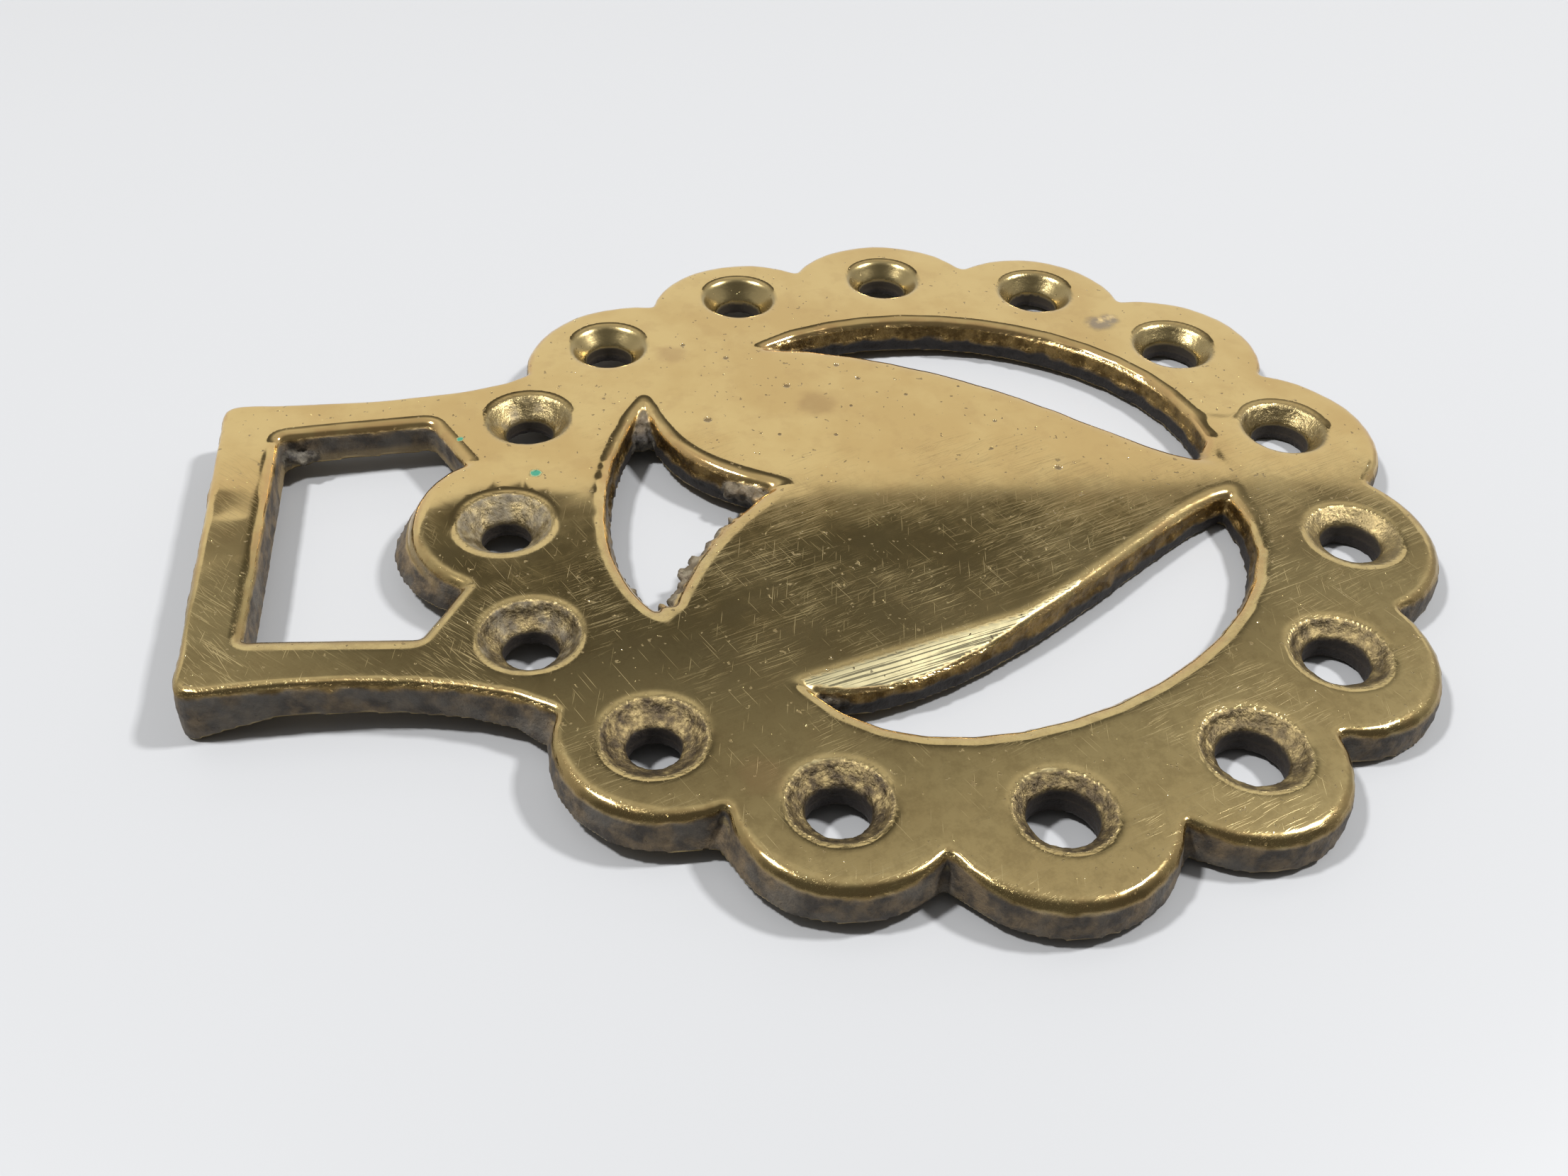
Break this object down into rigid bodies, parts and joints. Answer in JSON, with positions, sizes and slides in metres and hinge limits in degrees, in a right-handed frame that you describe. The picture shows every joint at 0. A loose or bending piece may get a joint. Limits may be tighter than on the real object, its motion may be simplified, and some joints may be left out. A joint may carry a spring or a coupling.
{
  "type": "horse brass",
  "caption": "Flat cast brass harness ornament: a heart in a scalloped ring of countersunk holes, with a rectangular strap hanger.",
  "frame": {"origin": "under the middle of the bounding box, on the surface that the hanger's end rests on", "axes": "+Z out of the face, +Y from the heart's point towards the hanger, +X to the right of the face"},
  "size_m": [0.0762, 0.0906, 0.0044],
  "materials": {
    "cast_brass": "worn and hand polished, with dark patina in the recesses"
  },
  "bodies": {
    "root": {"horse_brass": "cast_brass"}
  },
  "joints": []
}
